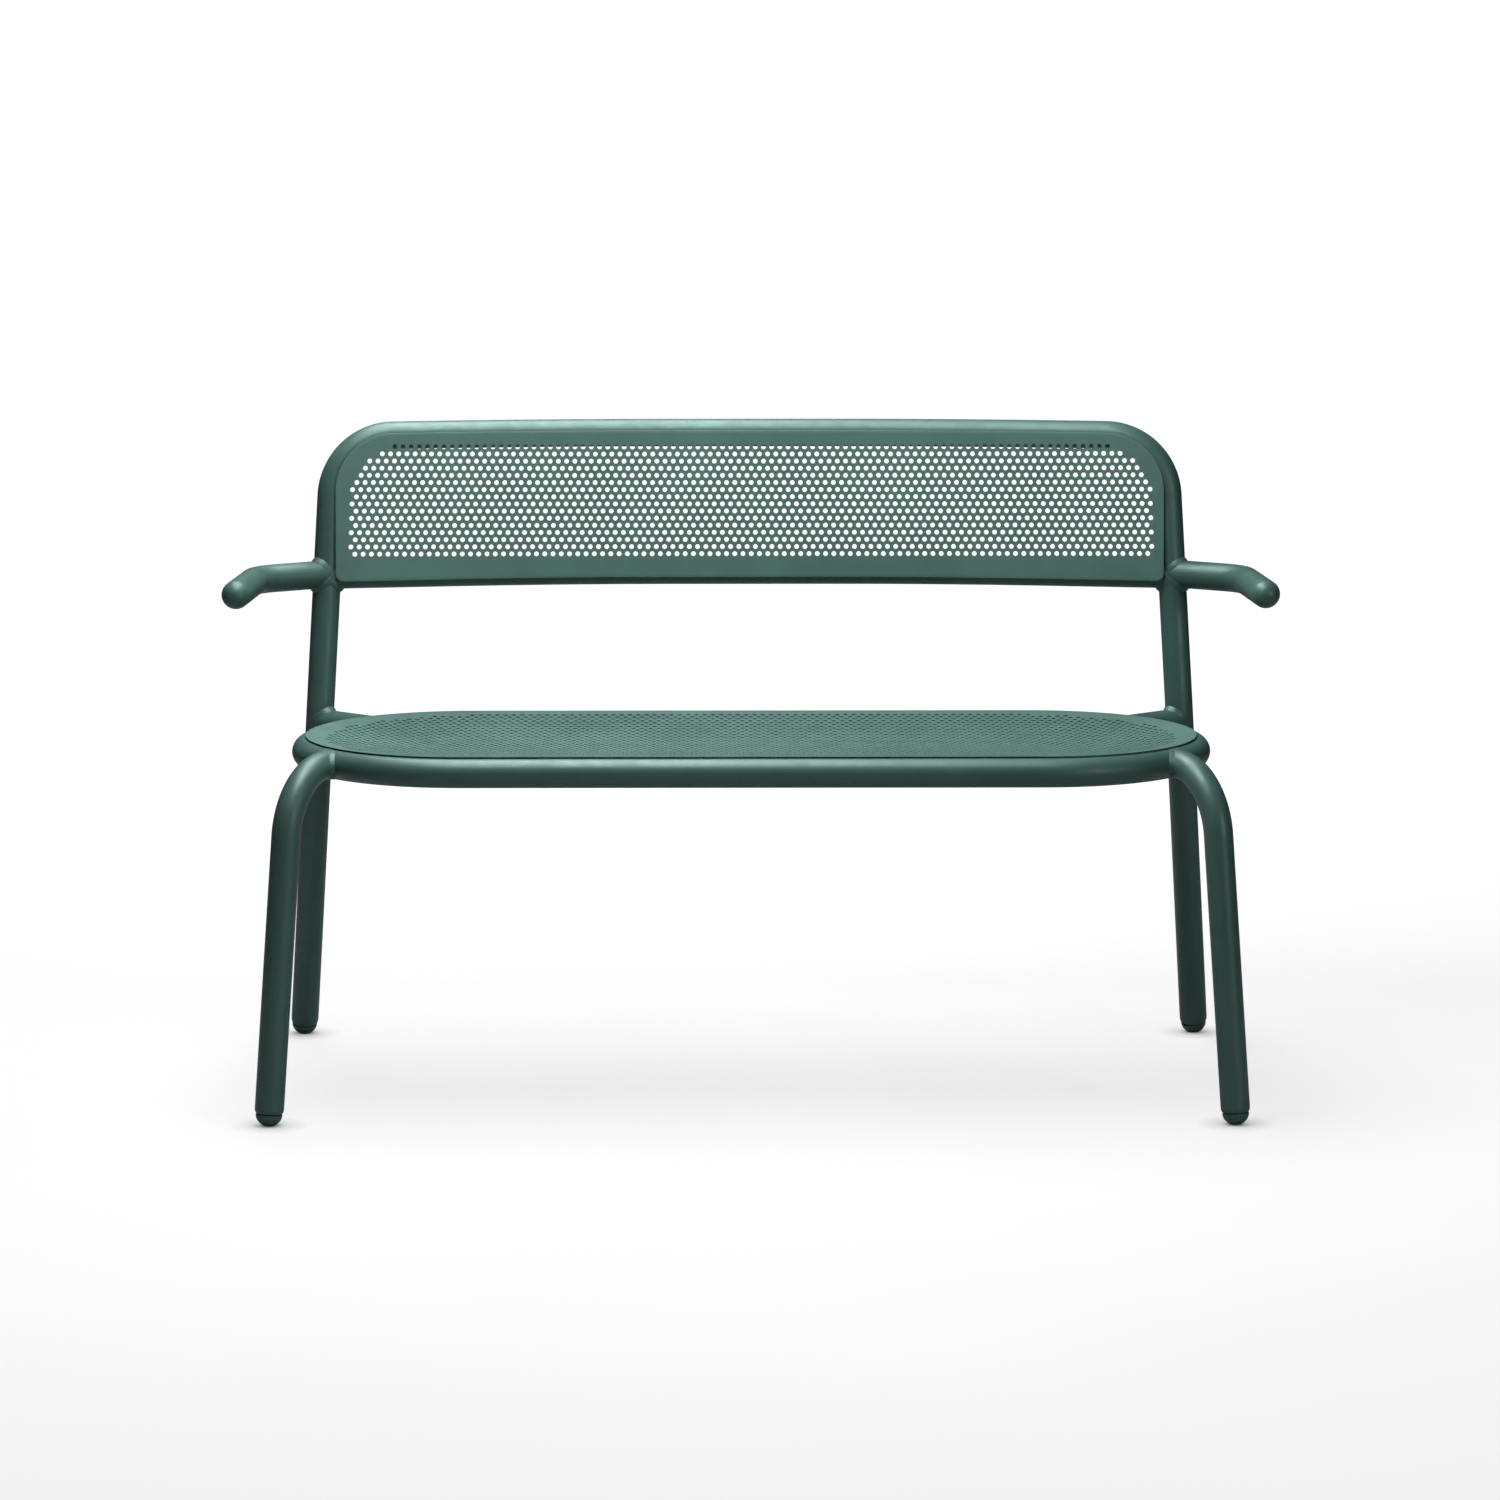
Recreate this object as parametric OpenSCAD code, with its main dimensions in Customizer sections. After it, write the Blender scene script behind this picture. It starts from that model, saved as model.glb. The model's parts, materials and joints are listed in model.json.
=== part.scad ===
// Outdoor bench of bent and welded steel tube with a perforated seat and backrest.
// Millimetres. +Z up, the sitter faces -Y, origin on the floor under the middle of the bench.

/* [Tubes] */
// Outside diameter of the frame, ring, leg and armrest tubes
tube_d = 35; // [32:0.5:38]
// Wall thickness of all tubes
tube_wall = 2; // [1.5:0.25:3]
// Outside diameter of the lower back rail
rail_d = 25; // [20:1:28]
// Outside diameter of the two bars under the seat
brace_d = 16; // [12:1:20]

/* [Feet] */
// Distance from the centre line to each foot
foot_x = 577; // [560:1:600]
// Distance from the origin forward to the front feet
foot_front_y = 274.4; // [260:0.1:290]
// Distance from the origin back to the rear feet
foot_rear_y = 278.1; // [265:0.1:290]
// Height of the plastic dome under each tube end
glide_h = 15; // [12:0.5:20]

/* [Seat] */
// Height of the ring tube's axis above the floor
ring_z = 421; // [400:1:450]
// Centre of the seat, front to back
seat_y = -58.9; // [-68:0.1:-50]
// Radius of the ring's round ends, along the tube's axis
ring_r = 193.5; // [185:0.5:205]
// Half length of the ring's straight sides
ring_half = 349; // [320:1:370]
// Depth of the dish pressed into the seat panel
seat_dish = 16; // [8:1:24]
// Thickness of the two perforated sheets
sheet_t = 2; // [1.5:0.25:3]

/* [Back] */
// Height of the bend between rear leg and upright
knee_z = 430; // [420:1:440]
// Distance from the centre line to that bend
knee_x = 543; // [535:1:550]
// Front-to-back position of that bend
knee_y = 166.6; // [156:0.2:176]
// How far the uprights lean back
back_lean = 6; // [3:0.5:9]
// Height of the top rail's axis
top_z = 780.4; // [760:0.2:800]
// Half width of the frame where the uprights would meet the top rail
top_x = 523.5; // [515:0.5:530]
// Radius of the two top corners, along the tube's axis
corner_r = 80; // [70:1:90]
// Height of the lower rail's axis
rail_z = 602.5; // [590:0.5:615]
// How far the middle of the rails bows back behind the uprights
back_bow = 50; // [30:1:52]
// Radius of the bowed parts of the rails
bow_r = 1650; // [1500:50:1900]
// Half length of the flat middle of the rails
bow_flat = 100; // [60:10:140]
// Half width of the back panel
panel_half = 521; // [505:1:525]
// Height of the back panel's lower edge
panel_low = 600.5; // [595:0.5:604]
// Height of the back panel's upper edge
panel_high = 785; // [775:1:790]

/* [Armrests] */
// Height of the armrests' axes
arm_z = 608; // [595:1:615]
// Distance from the centre line to the armrests' elbows
elbow_x = 618; // [600:1:625]
// Front-to-back position of the elbows
elbow_y = 126.6; // [112:0.2:140]
// Distance from the centre line to the centres of the round ends
tip_x = 628.5; // [615:0.5:640]
// Front-to-back position of the centres of the round ends
tip_y = -34.4; // [-60:0.2:-10]

/* [Hidden] */
$fn = 48;
arc_fn = 1440;                       // facets of the seat panel's metre-long arc
bow_steps = 16;                      // flats that make up each bowed part of the back panel

green = "#4f6f68";
green_light = "#5d8077";
dark_plastic = "#26413c";

left = -1;
right = 1;
weld_gap = 0.2;                      // gap between a coped tube end and the tube it meets
cope_r = tube_d / 2 + weld_gap;
knee_bend_r = 150;
leg_bend_r = 80;
elbow_r = 55;
leg_angle = 36.5;                    // where the front legs leave the ring's round ends
leg_aim = 62;                        // how far forward they point there, measured from +X
link_angle = 54;                     // where the rear links leave them
knee_shift = 2.5;                    // the bent tube passes this far behind the knee's corner point
leg_reach = 91.7;                    // from the ring's axis out to the top bend of a front leg
brace_x = 180;
brace_z = ring_z + tube_d / 2 - brace_d / 2 - seat_dish;
drain_d = 6;
dome_r = 16;
stem_h = 22;                         // part of a glide that sits inside its tube
stem_root = 3;
stem_fit = 0.2;                      // radial room around that stem
panel_top_r = 72;
panel_low_r = 10;
strip_margin = 40;                   // the bent strip is this much taller than the panel cut from it
bend_lap = 2;                        // how far a bend laps over the straight tube
bend_swell = 0.35;                   // how much more radius it has
open_end = 1;                        // a bore runs this far past an open tube end
bead_r = 2.6;
bead_sides = 6;
bead_steps = 20;
bead_sink = 0.995;                   // share of the tube's radius at which a bead's middle lies

upright_tan = (knee_x - top_x) / (top_z - knee_z);
function upright_x(z) = knee_x - (z - knee_z) * upright_tan;
function upright_y(z) = knee_y + (z - knee_z) * tan(back_lean);
function upright_point(z) = [upright_x(z), upright_y(z), z];
function mirror_x(side, p) = [side * p.x, p.y, p.z];

foot_front = [foot_x, -foot_front_y, 0];
foot_rear = [foot_x, foot_rear_y, 0];
knee = [knee_x, knee_y, knee_z];
corner = [top_x, upright_y(top_z), top_z];
leg_root = [ring_half + ring_r * cos(leg_angle), seat_y - ring_r * sin(leg_angle), ring_z];
leg_top = leg_root + leg_reach * [cos(leg_aim), -sin(leg_aim), 0];
link_root = [ring_half + ring_r * cos(link_angle), seat_y + ring_r * sin(link_angle), ring_z];
link_end = [upright_x(ring_z), knee_y + knee_shift, ring_z];
arm_root = upright_point(arm_z);
elbow = [elbow_x, elbow_y, arm_z];
arm_tip = [tip_x, tip_y, arm_z];

// Angle of a bowed rail's end: the line from the end that is tangent to the bow's arc
function bow_angle(end_x) =
    let (dx = end_x - bow_flat, dy = bow_r - back_bow)
    atan2(dx, dy) - acos(bow_r / norm([dx, dy]));
function bow_corner(end_x) = bow_flat + bow_r * tan(bow_angle(end_x) / 2);

function unit(v) = v / norm(v);
function ring_tangent(angle) = [-sin(angle), cos(angle), 0];
upright_dir = unit(corner - knee);
knee_dir = unit(upright_dir + unit(knee - foot_rear));
function bend_angle(a, p, b) = acos(unit(p - a) * unit(b - p));
function bend_start(a, p, b, r) = p - unit(p - a) * r * tan(bend_angle(a, p, b) / 2);
function bend_end(a, p, b, r) = p + unit(b - p) * r * tan(bend_angle(a, p, b) / 2);

// ---------- tube making ----------

// A frame whose X, Y and Z axes are u, v and n, with its origin at p
module frame_at(p, u, v, n) {
    multmatrix([[u.x, v.x, n.x, p.x], [u.y, v.y, n.y, p.y], [u.z, v.z, n.z, p.z], [0, 0, 0, 1]]) children();
}

// Side direction u of a tube that ran along d, after a bend to direction e
function carry(u, d, e) =
    let (axis = unit(cross(d, e)))
    (u * cross(axis, d)) * cross(axis, e) + (u * axis) * axis;
function side_start(d) = unit(cross(abs(d.z) > 0.9 ? [1, 0, 0] : [0, 0, 1], d));
function side_dir(pts, i) =
    i == 0 ? side_start(unit(pts[1] - pts[0]))
    : carry(side_dir(pts, i - 1), unit(pts[i] - pts[i - 1]), unit(pts[i + 1] - pts[i]));

// A rod from a to b whose seam runs along its side u
module straight(a, b, r, u) {
    d = unit(b - a);
    frame_at(a, u, cross(d, u), d) cylinder(r = r, h = norm(b - a));
}

// A bend laps over the straight tube at both ends and is a little thicker. Its seam starts on side u
module bend(a, p, b, bend_r, r, u) {
    d = unit(p - a);
    e = unit(b - p);
    outward = -unit(e - (e * d) * d);
    axis = cross(outward, d);
    start = bend_start(a, p, b, bend_r);
    lap = bend_lap / bend_r * 180 / PI;
    frame_at(start - outward * bend_r, outward, d, axis)
        rotate([0, 0, -lap]) rotate_extrude(angle = bend_angle(a, p, b) + 2 * lap, $fn = 96)
            translate([bend_r, 0]) rotate(atan2(u * axis, u * outward)) circle(r + bend_swell, $fn = 48);
}

// A solid rod along the points pts, with the bend radius radii[i] at each inner point
module bent_rod(pts, radii, r) {
    last = len(pts) - 1;
    for (i = [0 : last - 1]) {
        a = i == 0 ? pts[0] : bend_end(pts[i - 1], pts[i], pts[i + 1], radii[i]);
        b = i == last - 1 ? pts[last] : bend_start(pts[i], pts[i + 1], pts[i + 2], radii[i + 1]);
        straight(a, b, r, side_dir(pts, i));
    }
    if (last > 1) for (i = [1 : last - 1])
        bend(pts[i - 1], pts[i], pts[i + 1], radii[i], r, side_dir(pts, i - 1));
}

// The same as a hollow tube, open at both ends
module bent_tube(pts, radii, r) {
    last = len(pts) - 1;
    first_dir = unit(pts[1] - pts[0]);
    last_dir = unit(pts[last] - pts[last - 1]);
    bore_pts = [for (i = [0 : last])
        pts[i] - (i == 0 ? open_end * first_dir : [0, 0, 0]) + (i == last ? open_end * last_dir : [0, 0, 0])];
    difference() {
        bent_rod(pts, radii, r);
        bent_rod(bore_pts, radii, r - tube_wall);
    }
}

// ---------- back ----------

// The point where a tube ends above the floor, h along its axis from the foot
function tube_foot(foot, above, h) = foot + unit(above - foot) * h;

frame_side = [tube_foot(foot_rear, knee, glide_h), knee, corner];
top_bow = [bow_corner(top_x), corner.y + back_bow, top_z];

module back_frame_tube() {
    pts = concat(
        [for (p = frame_side) mirror_x(left, p)],
        [mirror_x(left, top_bow), top_bow],
        [for (i = [2 : -1 : 0]) frame_side[i]]);
    radii = [0, knee_bend_r, corner_r, bow_r, bow_r, corner_r, knee_bend_r, 0];
    color(green) bent_tube(pts, radii, tube_d / 2);
}

// Room for a tube end that meets a frame tube whose axis runs through p in direction d
module cope(side, p, d) {
    a = mirror_x(side, p - 2 * tube_d * d);
    b = mirror_x(side, p + 2 * tube_d * d);
    straight(a, b, cope_r, side_start(unit(b - a)));
}

rail_end = [upright_x(rail_z), upright_y(rail_z) - (tube_d - rail_d) / 2, rail_z];
rail_bow = [bow_corner(rail_end.x), rail_end.y + back_bow, rail_z];

module back_lower_rail() {
    pts = [mirror_x(left, rail_end), mirror_x(left, rail_bow), rail_bow, rail_end];
    color(green) difference() {
        bent_tube(pts, [0, bow_r, bow_r, 0], rail_d / 2);
        for (side = [left, right]) cope(side, upright_point(rail_z), upright_dir);
    }
}

// One face of the back sheet in plan, from the middle to the right: an arc, then straight to the upright
function bow_face(r) =
    let (turn = bow_angle(top_x), run = panel_half - bow_flat)
    concat(
        [for (i = [0 : bow_steps])
            let (t = turn * i / bow_steps)
            [bow_flat + r * sin(t), r * cos(t) - bow_r]],
        [[bow_flat + r * sin(turn) + run * cos(turn), r * cos(turn) - bow_r - run * sin(turn)]]);

module bowed_strip() {
    rear = bow_face(bow_r - tube_d / 2);
    front = bow_face(bow_r - tube_d / 2 - sheet_t);
    last = len(rear) - 1;
    polygon(concat(
        [for (i = [last : -1 : 0]) [-rear[i].x, rear[i].y]],
        rear,
        [for (i = [last : -1 : 0]) front[i]],
        [for (p = front) [-p.x, p.y]]));
}

// Front outline of the back sheet, with its larger radii at the top
module back_outline() {
    hull() {
        for (side = [left, right]) {
            translate([side * (panel_half - panel_top_r), panel_high - panel_top_r]) circle(panel_top_r);
            translate([side * (panel_half - panel_low_r), panel_low + panel_low_r]) circle(panel_low_r);
        }
    }
}

module back_panel() {
    color(green_light) intersection() {
        translate([0, upright_y(rail_z) + back_bow, rail_z]) rotate([-back_lean, 0, 0])
            translate([0, 0, -strip_margin])
                linear_extrude(panel_high - panel_low + 2 * strip_margin) bowed_strip();
        translate([0, 2 * knee_y, 0]) rotate([90, 0, 0]) linear_extrude(2 * knee_y) back_outline();
    }
}

// ---------- seat ----------

module ring_rod(r) {
    translate([0, seat_y, ring_z]) for (side = [left, right]) {
        translate([side * ring_half, 0, 0]) rotate([0, 0, side > 0 ? -90 : 90])
            rotate_extrude(angle = 180, $fn = 144) translate([ring_r, 0]) circle(r, $fn = 48);
        translate([-ring_half, side * ring_r, 0]) rotate([0, 90, 0]) cylinder(r = r, h = 2 * ring_half);
    }
}

module seat_ring_tube() {
    color(green) difference() {
        ring_rod(tube_d / 2);
        ring_rod(tube_d / 2 - tube_wall);
        for (side = [left, right])
            translate([side * (ring_half + ring_r), seat_y, ring_z - tube_d])
                cylinder(d = drain_d, h = tube_d);
    }
}

// Half of the seat sheet's cross-section: an arc that dips seat_dish below its rim
module dish_profile() {
    dish_r = (ring_r * ring_r + seat_dish * seat_dish) / (2 * seat_dish);
    intersection() {
        translate([0, dish_r - seat_dish]) difference() {
            circle(dish_r + sheet_t, $fn = arc_fn);
            circle(dish_r, $fn = arc_fn);
        }
        translate([0, -2 * seat_dish]) square([ring_r, 3 * seat_dish]);
    }
}

module seat_panel() {
    rim_z = ring_z + tube_d / 2 + sheet_t;
    color(green_light) translate([0, seat_y, rim_z]) {
        for (side = [left, right]) {
            translate([side * ring_half, 0, 0]) rotate([0, 0, side > 0 ? -90 : 90])
                rotate_extrude(angle = 180, $fn = 144) dish_profile();
            rotate([90, 0, side > 0 ? 90 : -90]) translate([0, 0, -ring_half])
                linear_extrude(2 * ring_half) dish_profile();
        }
    }
}

module seat_brace(side) {
    x = side * brace_x;
    color(green) difference() {
        bent_tube([[x, seat_y - ring_r, brace_z], [x, seat_y + ring_r, brace_z]], [0, 0], brace_d / 2);
        for (end = [-1, 1]) cope(side, [brace_x, seat_y + end * ring_r, ring_z], [1, 0, 0]);
    }
}

// ---------- legs and links ----------

module front_leg(side) {
    pts = [leg_root, leg_top, tube_foot(foot_front, leg_top, glide_h)];
    color(green) difference() {
        bent_tube([for (p = pts) mirror_x(side, p)], [0, leg_bend_r, 0], tube_d / 2);
        cope(side, leg_root, ring_tangent(-leg_angle));
    }
}

module seat_link(side) {
    color(green) difference() {
        bent_tube([mirror_x(side, link_root), mirror_x(side, link_end)], [0, 0], tube_d / 2);
        cope(side, link_root, ring_tangent(link_angle));
        cope(side, link_end, knee_dir);
    }
}

// ---------- armrests ----------

module armrest(side) {
    pts = [arm_root, elbow, arm_tip];
    color(green) difference() {
        bent_tube([for (p = pts) mirror_x(side, p)], [0, elbow_r, 0], tube_d / 2);
        cope(side, arm_root, upright_dir);
    }
}

// Pressed dome welded over the front end of an armrest
module armrest_cap(side) {
    d = unit(mirror_x(side, arm_tip) - mirror_x(side, elbow));
    u = unit(cross([0, 0, 1], d));
    color(green) frame_at(mirror_x(side, arm_tip), u, cross(d, u), d) difference() {
        sphere(tube_d / 2);
        sphere(tube_d / 2 - tube_wall);
        translate([0, 0, -tube_d / 2]) cube(tube_d + 1, center = true);
    }
}

// ---------- feet ----------

// Plastic plug: a dome cut flat on the floor, and a stem inside the tube
module foot_glide(side, foot, above) {
    d = unit(mirror_x(side, above) - mirror_x(side, foot));
    u = unit(cross([0, 1, 0], d));
    color(dark_plastic) difference() {
        frame_at(mirror_x(side, foot) + d * glide_h, u, cross(d, u), d) {
            difference() {
                sphere(dome_r);
                translate([0, 0, tube_d / 2]) cube(tube_d + 1, center = true);
            }
            translate([0, 0, -stem_root])
                cylinder(r = tube_d / 2 - tube_wall - stem_fit, h = stem_root + stem_h);
        }
        translate([side * foot_x, foot.y, -tube_d / 2]) cube([3 * tube_d, 3 * tube_d, tube_d], center = true);
    }
}

// ---------- welds ----------

// Closed cord of weld metal through the points pts
module bead_loop(pts, r) {
    n = len(pts);
    k = bead_sides;
    c = [for (axis = [0 : 2]) [for (p = pts) p[axis]] * [for (p = pts) 1] / n];
    verts = [for (i = [0 : n - 1])
        let (t = unit(pts[(i + 1) % n] - pts[(i + n - 1) % n]),
             out = unit((pts[i] - c) - ((pts[i] - c) * t) * t),
             up = cross(t, out))
        for (j = [0 : k - 1]) pts[i] + r * (cos(360 * j / k) * out + sin(360 * j / k) * up)];
    faces = [for (i = [0 : n - 1], j = [0 : k - 1])
        [i * k + j, i * k + (j + 1) % k, ((i + 1) % n) * k + (j + 1) % k, ((i + 1) % n) * k + j]];
    polyhedron(points = verts, faces = faces, convexity = 6);
}

// Distance along d from p until a line is r away from the axis through q with direction a
function reach_tube(p, d, q, a, r) =
    let (w = p - q,
         dn = d - (d * a) * a,
         wn = w - (w * a) * a,
         qa = dn * dn, qb = 2 * (dn * wn), qc = wn * wn - r * r,
         disc = max(qb * qb - 4 * qa * qc, 0))
    (-qb + sqrt(disc)) / (2 * qa);

// The line where a tube of radius r, from p along d, leaves a tube of radius big_r on the axis q, a
function joint_line(p, d, r, q, a, big_r) =
    let (u = unit(cross(a, d)), v = cross(d, u))
    [for (i = [0 : bead_steps - 1])
        let (phi = 360 * i / bead_steps, s = p + r * (cos(phi) * u + sin(phi) * v))
        s + d * reach_tube(s, d, q, a, big_r)];

module joint_bead(side, p, d, r, q, a, big_r) {
    pts = joint_line(p, d, r * bead_sink, q, a, big_r);
    bead_loop([for (p2 = pts) mirror_x(side, p2)], bead_r);
}

module weld_beads_armrests() {
    color(green) for (side = [left, right])
        joint_bead(side, arm_root, unit(elbow - arm_root), tube_d / 2, knee, upright_dir, tube_d / 2);
}

module weld_beads_front_legs() {
    tangent = ring_tangent(-leg_angle);
    color(green) for (side = [left, right])
        joint_bead(side, leg_root, unit(leg_top - leg_root), tube_d / 2, leg_root, tangent, tube_d / 2);
}

module weld_beads_seat_links() {
    d = unit(link_end - link_root);
    tangent = ring_tangent(link_angle);
    color(green) for (side = [left, right]) {
        joint_bead(side, link_root, d, tube_d / 2, link_root, tangent, tube_d / 2);
        joint_bead(side, link_end, -d, tube_d / 2, link_end, knee_dir, tube_d / 2);
    }
}

module weld_beads_lower_rail() {
    color(green) for (side = [left, right])
        joint_bead(side, rail_end, unit(rail_bow - rail_end), rail_d / 2, knee, upright_dir, tube_d / 2);
}

module weld_beads_seat_braces() {
    color(green) for (side = [left, right], end = [-1, 1]) {
        ring_point = [brace_x, seat_y + end * ring_r, ring_z];
        root = [brace_x, ring_point.y, brace_z];
        joint_bead(side, root, [0, -end, 0], brace_d / 2, ring_point, [1, 0, 0], tube_d / 2);
    }
}

back_frame_tube();
back_lower_rail();
back_panel();
seat_ring_tube();
seat_panel();
seat_brace(left);  // seat_brace_left
seat_brace(right);  // seat_brace_right
front_leg(left);  // front_leg_left
front_leg(right);  // front_leg_right
seat_link(left);  // seat_link_left
seat_link(right);  // seat_link_right
armrest(left);  // armrest_left
armrest(right);  // armrest_right
armrest_cap(left);  // armrest_cap_left
armrest_cap(right);  // armrest_cap_right
foot_glide(left, foot_front, leg_top);  // foot_glide_front_left
foot_glide(right, foot_front, leg_top);  // foot_glide_front_right
foot_glide(left, foot_rear, knee);  // foot_glide_rear_left
foot_glide(right, foot_rear, knee);  // foot_glide_rear_right
weld_beads_armrests();
weld_beads_front_legs();
weld_beads_seat_links();
weld_beads_lower_rail();
weld_beads_seat_braces();
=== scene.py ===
"""Looks of the garden bench: bent tube, perforated seat and backrest. Metres, in the CAD model's frame."""

import json
import math

import bmesh
import bpy
import numpy as np
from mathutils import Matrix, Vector
from mathutils.geometry import delaunay_2d_cdt


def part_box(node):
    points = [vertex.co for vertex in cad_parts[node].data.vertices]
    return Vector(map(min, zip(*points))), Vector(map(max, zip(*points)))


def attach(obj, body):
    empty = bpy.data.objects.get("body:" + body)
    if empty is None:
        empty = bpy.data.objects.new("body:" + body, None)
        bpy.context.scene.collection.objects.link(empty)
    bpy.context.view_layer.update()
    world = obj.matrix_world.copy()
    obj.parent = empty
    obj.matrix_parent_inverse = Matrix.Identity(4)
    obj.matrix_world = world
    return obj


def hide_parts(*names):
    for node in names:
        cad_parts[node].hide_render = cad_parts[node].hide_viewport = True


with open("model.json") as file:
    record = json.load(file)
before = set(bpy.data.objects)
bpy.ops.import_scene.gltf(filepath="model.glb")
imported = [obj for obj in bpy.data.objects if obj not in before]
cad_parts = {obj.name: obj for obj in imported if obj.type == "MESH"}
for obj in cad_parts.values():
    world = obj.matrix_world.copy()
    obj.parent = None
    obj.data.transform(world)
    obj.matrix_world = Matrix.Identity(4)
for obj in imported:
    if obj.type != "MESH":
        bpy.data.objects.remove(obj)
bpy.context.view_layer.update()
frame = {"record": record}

# ---------- sizes taken from the frame ----------

ring_low, ring_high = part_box("seat_ring_tube")
seat_low, seat_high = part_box("seat_panel")
rail_low, rail_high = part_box("back_lower_rail")
brace_low, brace_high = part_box("seat_brace_right")
panel_low, panel_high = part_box("back_panel")
back_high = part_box("back_frame_tube")[1]
MOUNTS = {m["name"]: m["pos_m"] for m in frame["record"]["mounts"]}

TUBE_R = 0.0175
RAIL_R = 0.0125
BRACE_R = 0.008
CAD_SHEET = 0.002                      # thickness of the CAD model's blank sheets
RING_Z = (ring_low.z + ring_high.z) / 2
SEAT_Y = (ring_low.y + ring_high.y) / 2
RING_R = (ring_high.y - ring_low.y) / 2 - TUBE_R
RING_HALF = ring_high.x - TUBE_R - RING_R
RAIL_Z = (rail_low.z + rail_high.z) / 2
BRACE_X = (brace_low.x + brace_high.x) / 2
BRACE_Z = (brace_low.z + brace_high.z) / 2
DISH = seat_high.z - seat_low.z - CAD_SHEET
TOP_Z = back_high.z - TUBE_R

# ---------- bends, as the CAD model has them ----------

KNEE = np.array([0.543, 0.1666, 0.430])
KNEE_BEND = 0.150
KNEE_SHIFT = 0.0025                    # the bent tube passes this far behind the knee's corner point
BACK_LEAN = math.radians(6)
TOP_HALF = 0.5235                      # where the uprights would meet the top rail
CORNER_BEND = 0.080
BOW = 0.050                            # how far the rails bow back
BOW_R = 1.650
BOW_FLAT = 0.100
LEG_BEND = 0.080
LEG_ANGLE = math.radians(36.5)
LEG_AIM = math.radians(62)
LEG_REACH = 0.0917
LINK_ANGLE = math.radians(54)
ELBOW_BEND = 0.055
ARM_Z = 0.608
ELBOW = np.array([0.618, 0.1266, ARM_Z])
ARM_TIP = np.array([0.6285, -0.0344, ARM_Z])
GLIDE_H = 0.015                        # height of the glide's dome along the leg

# ---------- tubes ----------

TUBE_SIDES = 48
TURN_STEP = math.radians(3)
JOINT_RUN = 0.042                      # length at a welded end that gets fine sections
JOINT_STEP = 0.0015
JOINT_BANDS = 6
COPE_SINK = 0.0012                     # a coped end sinks this far into the tube it is welded to
TOUCH = 5e-5
ROLL_H = 0.0065                        # height over which a leg's end is rolled in
ROLL_R = 0.0018                        # how much narrower it gets
ROLL_STEPS = 8
RIM_R = 0.0006

# ---------- welds ----------

WELD_SIDES = 96                        # places around a joint
WELD_POINTS = 7                        # points across a fillet
WELD_LEG = 0.0050                      # length of the fillet's two legs
WELD_WAVES = 4
WELD_WAVE = 0.14                       # how unevenly the legs run out, as a share of their length
WELD_TURN = 0.35                       # how far the toe on the other tube turns along the welded tube
WELD_CROWN = 0.02                      # the fillet's crown in a square corner, as a share of its legs
WELD_CROWN_FLAT = 0.10                 # what the crown gains where the two surfaces run side by side
WELD_SINK = 0.0002
WELD_ROOT = 0.0018                     # depth of the fillet's hidden inner edge
RIPPLE_PITCH = 0.0027
RIPPLE = 0.00030

# ---------- perforated sheets ----------

SHEET = 0.0011                         # the sheets' thickness without their stand-off
STAND_OFF = 0.0013                     # the sheets' edges stand this far off their tubes
ARRIS = 0.0003                         # rounding of the sheets' edges
ARRIS_STEPS = 3
SEAM_BACK = 0.0035                     # from a sheet's edge back to the seam that holds it to the tubes
SEAM_W = 0.0010
SEAM_SINK = 0.0003
INSET = SEAM_BACK + ARRIS
EDGE_STEP = 0.006

PITCH = 0.0104
ROW = PITCH * math.sqrt(3) / 2
HOLE_R = 0.0031
HOLE_SIDES = 12                        # one side faces each corner and each edge of a six-sided cell
SNAP = 5e-6                            # corners of two cells that are this close are one point
NEAR = 1e-7

SEAT_ROWS = 40
SEAT_FIELD_R = SEAT_ROWS / 2 * ROW - ROW / 2 + 0.0005
SEAT_FIELD_HALF = RING_HALF - 0.008
SEAT_OVERHANG = 0.001
SEAT_TOP = ring_high.z + STAND_OFF + SHEET

BACK_ROWS = 16
BACK_FIRST = 0.0256                    # height of the lowest row of holes along the sheet, above the rail
BACK_SHIFT = 0.002
BACK_STRETCH = 1.0067                  # the back's holes are spaced a little wider than the seat's
BACK_TAPER = 0.065                     # how much the rows of holes get shorter with height
BACK_FIELD_HALF = 0.5065
BACK_FIELD_TOP = 0.1641
BACK_FIELD_R = 0.070
BACK_TOP_R = 0.072
BACK_LOW_R = 0.010
BACK_R = BOW_R - TUBE_R - STAND_OFF - SHEET / 2

# ---------- glides and caps ----------

DOME_A = 0.0160                        # half width of a glide's dome
DOME_C = 0.0156                        # its height along the leg, a little more than GLIDE_H
DOME_START = 0.0012                    # distance from the leg's end to the dome's widest ring
DOME_STEPS = 20
GLIDE_TIP_R = 0.0004
CAP_TIP_R = 0.0003
# (distance, radius) of the plug in the tube, the shadow gap and the dome's rounded upper edge
GLIDE_NECK = [(-0.004, 0.0140), (0.0002, 0.0141), (0.0006, DOME_A - 0.0008), (DOME_START, DOME_A - 0.0001)]
CAP_NECK = [(-0.001, TUBE_R - 0.0004), (0.0, TUBE_R)]

# ---------- paint and plastic ----------

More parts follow.
